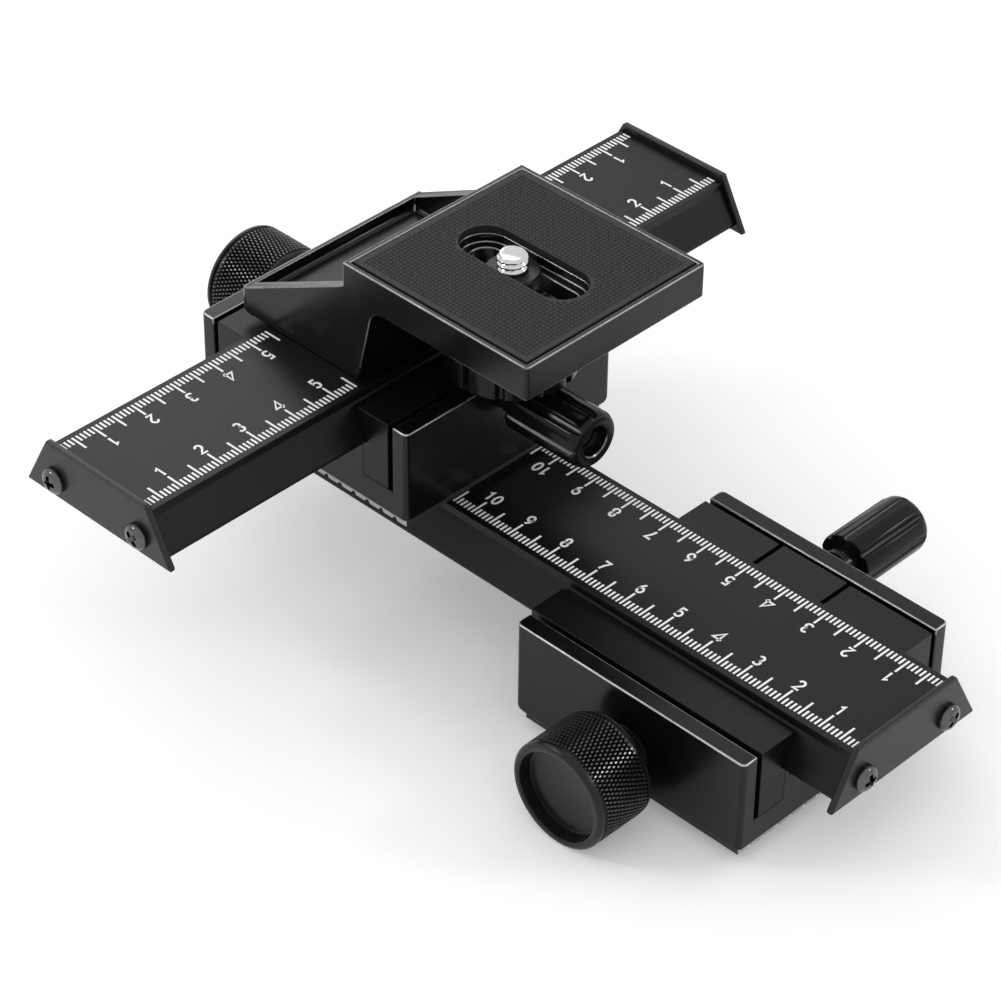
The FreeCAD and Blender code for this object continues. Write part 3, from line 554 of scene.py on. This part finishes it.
# Centre lines of each digit's strokes, in a cell about digit_width wide and 1 high.
DIGITS = {
    "0": [arc(0.3, 0.5, 0.21, 0.43, 90, 450, 24)],
    "1": [[(0.13, 0.74), (0.34, 0.93), (0.34, 0.07)]],
    "2": [arc(0.3, 0.68, 0.21, 0.25, 165, -35) + [(0.08, 0.07), (0.53, 0.07)]],
    "3": [arc(0.28, 0.72, 0.19, 0.21, 150, -90), arc(0.28, 0.29, 0.22, 0.22, 90, -155)],
    "4": [[(0.46, 0.05), (0.46, 0.96), (-0.04, 0.24), (0.62, 0.24)]],
    "5": [[(0.48, 0.93), (0.15, 0.93), (0.1, 0.5)] + arc(0.28, 0.34, 0.22, 0.27, 140, -150)],
    "6": [arc(0.3, 0.33, 0.2, 0.26, 180, 540, 20), arc(0.42, 0.36, 0.32, 0.57, 182, 100)],
    "7": [[(0.07, 0.93), (0.53, 0.93), (0.32, 0.5), (0.22, 0.07)]],
    "8": [arc(0.3, 0.72, 0.17, 0.21, 90, 450, 18), arc(0.3, 0.29, 0.21, 0.22, 90, 450, 20)],
    "9": [arc(0.3, 0.67, 0.2, 0.26, 0, 360, 20), arc(0.18, 0.64, 0.32, 0.57, 2, -80)],
}


def ribbon(bm, points, width, to_place):
    """Thin solid stroke of even width along a line of points."""
    closed = (Vector(points[0]) - Vector(points[-1])).length < same_point
    line = [Vector(point) for point in (points[:-1] if closed else points)]
    count = len(line)
    rows = []
    for i, point in enumerate(line):
        before = line[i - 1] if (i > 0 or closed) else None
        after = line[(i + 1) % count] if (i < count - 1 or closed) else None
        way_in = (point - before if before is not None else after - point).normalized()
        way_out = (after - point).normalized() if after is not None else way_in
        mean = (way_in + way_out).normalized()
        across = Vector((-mean.y, mean.x))
        stretch = 1 / max(sharpest_corner, across.dot(Vector((-way_in.y, way_in.x))))
        offset = across * (width / 2 * min(stretch, widest_corner))
        left, right = point + offset, point - offset
        section = ((left, 0), (left, ink_thickness), (right, ink_thickness), (right, 0))
        rows.append([bm.verts.new(to_place(side.x, side.y, z)) for side, z in section])
    for i in range(count if closed else count - 1):
        here, there = rows[i], rows[(i + 1) % count]
        for k in range(4):
            bm.faces.new((here[k], here[(k + 1) % 4], there[(k + 1) % 4], there[k]))
    if not closed:
        bm.faces.new(rows[0])
        bm.faces.new(list(reversed(rows[-1])))


def print_scale(stage):
    """Millimetre scale along both edges of a rail, numbered in centimetres."""
    rail = STAGE_RAIL[stage]
    low, high = stage_box(stage, rail + "_rail")
    place = STAGES[stage]
    bm = bmesh.new()

    # The lower scale counts from the free end. The upper one counts from both ends and
    # stops at the bracket.
    if stage == "base":
        runs = [(high.x + scale_zero_beyond_rail, -1, high.x - low.x)]
    else:
        bracket_low, bracket_high = stage_box(stage, "camera_bracket")
        runs = [(high.x + scale_zero_beyond_rail, -1, high.x - bracket_high.x),
                (low.x - scale_zero_beyond_rail, 1, bracket_low.x - low.x)]

    for zero, direction, reach in runs:
        for edge in (-1, 1):
            for number in range(first_tick, int(reach / mm) + 1):
                x = zero + direction * number * mm
                tick = short_tick if number % long_tick_every else long_tick

                def at(u, v, z, x=x, edge=edge):
                    return place @ Vector((x + u, edge * v, high.z + z))

                ribbon(bm, [(0, tick_outer), (0, tick_outer - tick)], tick_width, at)
                if number % number_every == 0:
                    write_number(bm, str(number // number_every), x, edge, high.z, place)
    bmesh.ops.recalc_face_normals(bm, faces=bm.faces)
    new_piece(rail + "_scale", bm, "print", rail + "_slide")


def write_number(bm, text, x, edge, top, place):
    """A number whose foot points at its own edge of the rail."""
    foot = tick_outer - long_tick - digit_gap
    width = (digit_pitch * (len(text) - 1) + digit_width) * digit_height
    for order, digit in enumerate(text):
        start = order * digit_pitch * digit_height - width / 2
        for stroke in DIGITS[digit]:
            def at(u, v, z, start=start):
                across = start + u
                return place @ Vector((x - edge * across, edge * (foot - v), top + z))

            points = [(px * digit_height, py * digit_height) for px, py in stroke]
            ribbon(bm, points, stroke_width, at)


# ---------------------------------------------------------------- focus knobs
knurl_around = 78
knurl_pitch = 1.9 * mm
knurl_depth = 0.4 * mm
knurl_crest_share = 0.4         # how much of each diamond its flat tip takes
knurl_start = 0.25 * mm         # from the front band down to the first valley
grip_length = 14.4 * mm
knob_rim_width = 1.9 * mm
knob_front_band = 1.2 * mm      # plain, rounded band at the front edge
knob_edge_round = 0.9 * mm
knob_round_steps = 5
knob_dish = 2.9 * mm
knob_back_band = 0.9 * mm
back_band_start = 0.15 * mm     # from the last valley up to the back band
back_band_drops = (0.1 * mm, 0.15 * mm)      # its two edges lie this much inside the crests
back_band_corner = 0.45 * mm
knob_hub_radius = 6.0 * mm
knob_hub_corner = 0.2 * mm
knob_bore = 2.6 * mm
knob_floor = 1.6 * mm           # from the dish to the end of the bore
knob_crease = 30                # degrees, as in the other creases; sharper edges stay sharp

# Two small corners of the outline, in millimetres outwards and along the axis: from the
# rim's inside and the dish, and from the rim's inside and the front.
DISH_CORNER = [(-0.6, 0.0), (-0.2, -0.18), (-0.06, -0.6)]
RIM_CORNER = [(0.0, 0.5), (0.12, 0.14), (0.45, 0.0)]


def focus_knob(stage):
    """Knurled knob with a rounded front rim and a dished face."""
    name = stage + "_focus_knob"
    low, high = stage_box(stage, name)
    place = STAGES[stage]
    front = low.y
    radius = (high.z - low.z) / 2
    axis_height = (high.z + low.z) / 2
    grip_back = front + grip_length
    count = knurl_around * 2
    bm = bmesh.new()

    def at(distance, y, angle):
        return bm.verts.new(place @ Vector((distance * math.sin(angle), y,
                                            axis_height + distance * math.cos(angle))))

    def ring(distance, y):
        return [at(distance, y, 2 * math.pi * n / count) for n in range(count)]

    # front: dish, rim and rounded corner
    rim_inner = radius - knob_rim_width
    valley = radius - knurl_depth
    profile = [(rim_inner + out * mm, knob_dish + along * mm) for out, along in DISH_CORNER]
    profile += [(rim_inner + out * mm, along * mm) for out, along in RIM_CORNER]
    profile += [(radius - knob_edge_round * (1 - math.sin(angle)),
                 knob_edge_round * (1 - math.cos(angle)))
                for angle in quarter_turn(knob_round_steps)]
    profile += [(radius, knob_front_band), (valley, knob_front_band + knurl_start)]
    centre = [bm.verts.new(place @ Vector((0, front + knob_dish, axis_height)))]
    rings = [centre] + [ring(distance, front + along) for distance, along in profile]
    loft(bm, rings)

    # back: plain band, back face, hub and bore
    back_start = grip_back - knob_back_band
    near_drop, far_drop = back_band_drops
    profile = [(valley, back_start), (radius - near_drop, back_start + back_band_start),
               (radius - far_drop, grip_back - back_band_corner),
               (radius - far_drop - back_band_corner, grip_back),
               (knob_hub_radius, grip_back), (knob_hub_radius, high.y - knob_hub_corner),
               (knob_hub_radius - knob_hub_corner, high.y), (knob_bore, high.y),
               (knob_bore, front + knob_dish + knob_floor)]
    tail = [ring(distance, y) for distance, y in profile]
    loft(bm, tail)
    bm.faces.new(tail[-1])

    span = (front + knob_front_band + knurl_start, back_start)
    knurl(bm, at, rings[-1], tail[0], (radius, valley), span)
    bmesh.ops.recalc_face_normals(bm, faces=bm.faces)
    new_piece(name + "_knurled", bm, "knurled crest", stage + "_focus", [name],
              knob_crease)


def knurl(bm, at, first, last, radii, span):
    """Diamonds between two crossing sets of grooves, from one ring of vertices to another."""
    crest, valley = radii
    start, end = span
    rows = round((end - start) / (knurl_pitch / 2))
    step = (end - start) / rows
    count = len(first)
    turn = 2 * math.pi / count
    grid = [first]
    for row in range(1, rows):
        grid.append([at(valley, start + row * step, n * turn) for n in range(count)])
    grid.append(last)
    for row in range(rows + 1):
        for n in range(count):
            if (row + n) % 2 == 0:
                continue
            left = grid[row][(n - 1) % count]
            right = grid[row][(n + 1) % count]
            if row in (0, rows):
                point = grid[1][n] if row == 0 else grid[rows - 1][n]
                bm.faces.new((grid[row][n], point, left))
                bm.faces.new((grid[row][n], right, point))
                continue
            corners = [left, grid[row - 1][n], right, grid[row + 1][n]]
            y = start + row * step
            half_turn = turn * knurl_crest_share
            half_step = step * knurl_crest_share
            tops = [at(crest, y, n * turn - half_turn), at(crest, y - half_step, n * turn),
                    at(crest, y, n * turn + half_turn), at(crest, y + half_step, n * turn)]
            for k in range(4):
                after = (k + 1) % 4
                bm.faces.new((corners[k], corners[after], tops[after], tops[k]))
            tip = bm.faces.new(tops)
            # painted highlight: each flat tip takes the lighter crest material
            tip.material_index = 1
    loose = [vertex for vertex in bm.verts if not vertex.link_faces]
    bmesh.ops.delete(bm, geom=loose, context="VERTS")


# ---------------------------------------------------------------- fluted knobs
groove_stations = (-1.0, -0.86, -0.6, -0.36, -0.18, 0.18, 0.36, 0.6, 0.86)
groove_side = 0.7               # how much of half a groove its sloping side takes
lobe_steps = 8
fluted_crease = 42


def fluted(bm, profile, to_place, flutes, width, depth, turn=0.0, slots=None):
    """Closed turning whose widest part carries grooves. The profile gives (along, radius)."""
    widest = max(radius for along, radius in profile)
    half = width / 2 / widest
    step = 2 * math.pi / flutes
    angles = []
    for number in range(flutes):
        groove = turn + number * step
        angles += [groove + station * half for station in groove_stations]
        angles += [groove + half + (step - 2 * half) * n / lobe_steps for n in range(lobe_steps)]

    def outline(angle):
        """Radius of the grooved outline at an angle."""
        away = abs((angle - turn + step / 2) % step - step / 2) / half
        share = min(1.0, max(0.0, (1.0 - away) / groove_side))
        return widest - depth * share * share * (3 - 2 * share)

    rings = []
    for along, radius in profile:
        rings.append([bm.verts.new(to_place(min(radius, outline(angle)), angle, along))
                      for angle in angles])
    loft(bm, rings + rings[:1], slots)
    bmesh.ops.recalc_face_normals(bm, faces=bm.faces)


def round_over(along, radius, along_size, radius_size, steps):
    """Quarter ellipse from the side of a turning to its end face."""
    return [(along + along_size * math.sin(angle), radius - radius_size * (1 - math.cos(angle)))
            for angle in quarter_turn(steps)]


lock_flutes = 8
lock_groove_width = 2.0 * mm
lock_groove_depth = 0.7 * mm
lock_radius = 6.2 * mm
lock_collar_length = 2.85 * mm
lock_collar_radius = 3.9 * mm
lock_shoulder = 0.5 * mm           # rounded corner between the grip's back and its lobes
lock_shoulder_middle = 0.15 * mm
lock_bore = 3.03 * mm
lock_recess_radius = 3.3 * mm
lock_recess_depth = 3.4 * mm
lock_lip = 0.25 * mm
lock_nose_length = 2.3 * mm
lock_nose_drop = 1.1 * mm
lock_nose_steps = 9


def lock_knob(stage):
    """Slim knob: eight wide lobes that run out in a rounded nose with a hollow end."""
    name = stage + "_lock_knob"
    low, high = stage_box(stage, name)
    place = STAGES[stage]
    axis = (low + high) / 2
    grip = low.y + lock_collar_length
    recess = high.y - lock_recess_depth
    profile = [(low.y, lock_bore), (low.y, lock_collar_radius), (grip, lock_collar_radius),
               (grip, lock_radius - lock_shoulder),
               (grip + lock_shoulder_middle, lock_radius - lock_shoulder_middle),
               (grip + lock_shoulder, lock_radius)]
    profile += round_over(high.y - lock_nose_length, lock_radius, lock_nose_length,
                          lock_nose_drop, lock_nose_steps)
    # painted highlight: the lip round the hollow end takes the lighter crest material, a light ring
    lip_row = len(profile)
    profile += [(high.y, lock_recess_radius + lock_lip), (high.y - lock_lip, lock_recess_radius),
                (recess, lock_recess_radius), (recess, lock_bore)]
    bm = bmesh.new()

    def to_place(distance, angle, along):
        return place @ Vector((axis.x + distance * math.sin(angle), along,
                               axis.z + distance * math.cos(angle)))

    fluted(bm, profile, to_place, lock_flutes, lock_groove_width, lock_groove_depth,
           slots={lip_row: 1})
    new_piece(name + "_fluted", bm, "glossy crest", stage + "_lock", [name],
              fluted_crease)


captive_flutes = 11
captive_turn = 10.6                # degrees from +X to the middle of a groove
captive_groove_width = 2.0 * mm
captive_groove_depth = 1.2 * mm
captive_radius = 13.5 * mm
captive_grip = 6.5 * mm
captive_edge_round = 0.8 * mm
captive_edge_steps = 4
captive_hub_radius = 8.0 * mm
captive_hub_fillet = 0.5 * mm
captive_hub_corner = 0.3 * mm
captive_bore = 2.45 * mm


def captive_knob():
    """Thumb knob under the plate: eleven wide lobes with narrow grooves, and a round hub."""
    low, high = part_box("captive_knob")
    axis = middle("camera_screw")
    edge = captive_edge_round
    grip_top = low.z + captive_grip
    profile = [(low.z, captive_bore)]
    profile += [(low.z + edge * (1 - math.cos(angle)), captive_radius - edge * (1 - math.sin(angle)))
                for angle in quarter_turn(captive_edge_steps)]
    profile += round_over(grip_top - edge, captive_radius, edge, edge, captive_edge_steps)
    profile += [(grip_top, captive_hub_radius + captive_hub_fillet),
                (grip_top + captive_hub_fillet, captive_hub_radius),
                (high.z - captive_hub_corner, captive_hub_radius),
                (high.z, captive_hub_radius - captive_hub_corner), (high.z, captive_bore)]
    bm = bmesh.new()

    def to_place(distance, angle, along):
        return Vector((axis.x + distance * math.cos(angle),
                       axis.y + distance * math.sin(angle), along))

    fluted(bm, profile, to_place, captive_flutes, captive_groove_width, captive_groove_depth,
           turn=math.radians(captive_turn))
    new_piece("captive_knob_fluted", bm, "glossy", "camera_screw_turn",
              ["captive_knob"], fluted_crease)


# ---------------------------------------------------------------- pan-head screws
head_radius = 2.75 * mm
head_height = 1.9 * mm
head_side = 0.55 * mm              # height of the straight side under the dome
head_foot_drop = 0.05 * mm         # small corner where the head meets the plate
head_foot_height = 0.1 * mm
head_around = 40
head_dome_steps = 8
head_fullness = 0.72               # below 1 the dome is fuller than a quarter ellipse
head_turns = (0.35, 1.05, 0.1, 0.75)      # radians; each screw stopped at its own angle
head_crease = 32
recess_half_width = 0.5 * mm
recess_reach = 1.75 * mm
recess_depth = 1.1 * mm
recess_floor_shares = (0.45, 0.7)         # of reach and of half width, at the cross's floor
recess_top_shares = (1.25, 1.15)          # and where its cutter ends, above the head
recess_clear = 0.5 * mm


def cross_cutter():
    """Two tapered blades that leave the cross recess."""
    bm = bmesh.new()
    levels = ((head_height - recess_depth, recess_floor_shares),
              (head_height + recess_clear, recess_top_shares))
    for turn in (0, math.pi / 2):
        blade = []
        for z, (reach_share, width_share) in levels:
            corners = [Vector((sx * recess_reach * reach_share,
                               sy * recess_half_width * width_share, z)) for sx, sy in SQUARE]
            for corner in corners:
                corner.rotate(Matrix.Rotation(turn, 3, "Z"))
            blade.append([bm.verts.new(corner) for corner in corners])
        four_sided(bm, *blade)
    return set_down("cross_form", mesh_of("cross", bm))


def pan_head():
    """Domed head with a cross recess, made once and copied."""
    profile = [(0.0, 0.0), (head_radius - head_foot_drop, 0.0), (head_radius, head_foot_height)]
    profile += [(head_radius * math.cos(angle) ** head_fullness,
                 head_side + (head_height - head_side) * math.sin(angle))
                for angle in quarter_turn(head_dome_steps)[:-1]]
    profile.append((0.0, head_height))
    bm = bmesh.new()
    rings = []
    for distance, z in profile:
        turns = [2 * math.pi * n / head_around for n in range(head_around if distance > 0 else 1)]
        rings.append([bm.verts.new((distance * math.cos(turn), distance * math.sin(turn), z))
                      for turn in turns])
    loft(bm, rings)
    bmesh.ops.recalc_face_normals(bm, faces=bm.faces)
    head = set_down("pan_head_form", mesh_of("pan_head", bm))
    cutter = cross_cutter()
    cut = head.modifiers.new("cut", "BOOLEAN")
    cut.operation = "DIFFERENCE"
    cut.object = cutter
    cut.use_self = True
    bpy.context.view_layer.update()
    evaluated = head.evaluated_get(bpy.context.evaluated_depsgraph_get())
    shaped = bpy.data.meshes.new_from_object(evaluated)
    bpy.data.objects.remove(head)
    bpy.data.objects.remove(cutter)
    shaped.name = "pan_head_cut"
    return shaped


def plate_screw_heads(stage, form):
    """Four heads on a rail's end plates, each turned a little differently."""
    name = STAGE_RAIL[stage] + "_plate_screws"
    low, high = stage_box(stage, name)
    z = (low.z + high.z) / 2
    spots = [(x, side, y) for x, side in ((low.x, -1), (high.x, 1))
             for y in (low.y + head_radius, high.y - head_radius)]
    bm = bmesh.new()
    for (x, side, y), twist in zip(spots, head_turns):
        foot = Matrix.Translation(Vector((x - side * head_height, y, z)))
        outward = Matrix.Rotation(side * math.pi / 2, 4, "Y")
        copy = form.copy()
        copy.transform(STAGES[stage] @ foot @ outward @ Matrix.Rotation(twist, 4, "Z"))
        bm.from_mesh(copy)
        bpy.data.meshes.remove(copy)
    new_piece(name + "_heads", bm, "oxide", STAGE_RAIL[stage] + "_slide", [name],
              head_crease)


# ---------------------------------------------------------------- camera screw
thread_pitch = 1.27 * mm
thread_depth = 0.55 * mm
thread_steps = 12                  # rings in one pitch
thread_around = 48
thread_fullness = 1.25             # above 1 the crests are flat
thread_run_out = 0.45 * mm         # the thread fades over this length at the tip
thread_tip_drop = 0.1 * mm
neck_radius = 2.35 * mm
neck_clear = 0.06 * mm             # from the washer to the first thread
thread_crease = 40


def threaded_screw():
    """Camera screw: real helical thread above the washer, plain neck below."""
    low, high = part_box("camera_screw")
    axis = (low + high) / 2
    core = (high.x - low.x) / 2 - thread_depth
    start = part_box("slot_washer")[1].z + neck_clear
    length = high.z - start
    bm = bmesh.new()

    def ring(radius_at, z):
        made = []
        for n in range(thread_around):
            angle = 2 * math.pi * n / thread_around
            radius = radius_at(angle, z)
            made.append(bm.verts.new((axis.x + radius * math.cos(angle),
                                      axis.y + radius * math.sin(angle), z)))
        return made

    def neck(angle, z):
        return neck_radius

    def thread(angle, z):
        phase = ((z - start) / thread_pitch - angle / (2 * math.pi)) % 1.0
        wave = 1 - abs(2 * phase - 1)
        fade = min(1.0, (high.z - z) / thread_run_out)
        crest = core + thread_depth * min(1.0, wave * thread_fullness)
        return (core - thread_tip_drop) * (1 - fade) + crest * fade

    rings = [ring(neck, low.z), ring(neck, start)]
    count = int(length / thread_pitch * thread_steps)
    rings += [ring(thread, start + length * n / count) for n in range(count + 1)]
    loft(bm, rings)
    bm.faces.new(list(reversed(rings[0])))
    bm.faces.new(rings[-1])
    bmesh.ops.recalc_face_normals(bm, faces=bm.faces)
    new_piece("camera_screw_threaded", bm, "bright", "camera_screw_turn",
              ["camera_screw"], thread_crease)


# ---------------------------------------------------------------- plate texture
stud_pitch = 0.95 * mm
stud_base = 0.68 * mm
stud_top = 0.38 * mm
stud_height = 0.22 * mm
stud_margin = 0.9 * mm
slot_from_edge = 23.0 * mm         # middle of the slot, from the pad's edge at low x
slot_half_straight = 10.0 * mm
slot_radius = 5.5 * mm
slot_clear = 0.5 * mm


def plate_studs():
    """Fine moulded studs over the rubber of the camera plate, clear of its slot."""
    low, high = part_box("camera_plate_pad")
    centre = (low + high) / 2
    slot_middle = low.x + slot_from_edge
    count = int((high.x - low.x - 2 * stud_margin) / stud_pitch)
    start = -(count - 1) / 2
    bm = bmesh.new()

    def square(x, y, side, z):
        return [bm.verts.new((x + sx * side / 2, y + sy * side / 2, z)) for sx, sy in SQUARE]

    for i in range(count):
        for j in range(count):
            x = centre.x + (start + i) * stud_pitch
            y = centre.y + (start + j) * stud_pitch
            past_straight = max(0.0, abs(x - slot_middle) - slot_half_straight)
            if math.hypot(past_straight, y - centre.y) < slot_radius + slot_clear:
                continue
            four_sided(bm, square(x, y, stud_base, high.z),
                       square(x, y, stud_top, high.z + stud_height))
    new_piece("camera_plate_studs", bm, "rubber", "upper_slide")


# ---------------------------------------------------------------- studio
world_light = 0.78
floor_light = 0.8             # what the far floor gets; the rest is a background for the eye
floor_gap = 0.05 * mm
floor_half = 3.0
floor_patch = 0.4
floor_roughness = 0.9
lamp_aim = Vector((-0.05, 0.0, 0.02))
lamp_distance = 0.9
white = (1, 1, 1, 1)


def seen_strength(tree, socket, unseen, seen):
    """One strength where the camera, a reflection or glass looks, another where light falls."""
    path = tree.nodes.new("ShaderNodeLightPath")
    total = path.outputs["Is Camera Ray"]
    for ray in ("Is Glossy Ray", "Is Transmission Ray"):
        either = tree.nodes.new("ShaderNodeMath")
        either.operation = "MAXIMUM"
        tree.links.new(total, either.inputs[0])
        tree.links.new(path.outputs[ray], either.inputs[1])
        total = either.outputs[0]
    level = tree.nodes.new("ShaderNodeMapRange")
    tree.links.new(total, level.inputs["Value"])
    level.inputs["To Min"].default_value = unseen
    level.inputs["To Max"].default_value = seen
    tree.links.new(level.outputs["Result"], socket)


def studio():
    """Plain pale floor and a white world."""
    paint = Recipe("floor_paint")
    patches = paint.noise(floor_patch)
    paint.colours(patches, dark=(0.93, 0.93, 0.93), light=(0.96, 0.96, 0.96))
    paint.fixed(Roughness=floor_roughness, Emission_Color=white)
    seen_strength(paint.tree, paint.shader.inputs["Emission Strength"], 0.0, 1.0 - floor_light)

    bm = bmesh.new()
    level = cad_box[0].z - floor_gap
    bm.faces.new([bm.verts.new((sx * floor_half, sy * floor_half, level)) for sx, sy in SQUARE])
    floor = set_down("floor", mesh_of("floor", bm))
    floor.data.materials.append(paint.material)

    world = bpy.data.worlds.new("studio")
    bpy.context.scene.world = world
    world.use_nodes = True
    background = world.node_tree.nodes["Background"]
    background.inputs["Color"].default_value = white
    seen_strength(world.node_tree, background.inputs["Strength"], world_light, 1.0)


def lamp(name, direction, size, power):
    """Soft rectangular lamp that looks at the object."""
    data = bpy.data.lights.new(name, "AREA")
    data.shape = "RECTANGLE"
    data.size, data.size_y = size
    data.energy = power
    light = set_down(name, data)
    light.location = lamp_aim + Vector(direction).normalized() * lamp_distance
    light.rotation_euler = (lamp_aim - light.location).to_track_quat("-Z", "Y").to_euler()


# ---------------------------------------------------------------- everything in its place
for node_name, node_object in nodes.items():
    dress(node_name, node_object)
for stage_name in STAGES:
    print_scale(stage_name)
screw_form = pan_head()
for stage_name in STAGES:
    focus_knob(stage_name)
    lock_knob(stage_name)
    plate_screw_heads(stage_name, screw_form)
captive_knob()
threaded_screw()
plate_studs()
studio()
lamp("back_left", direction=(-0.754, 0.32, 0.574), size=(0.6, 0.5), power=1.2)
lamp("edge_left", direction=(-0.55, -0.62, 0.57), size=(0.2, 0.12), power=1.2)
lamp("edge_right", direction=(0.62, 0.57, 0.55), size=(0.2, 0.12), power=1.0)
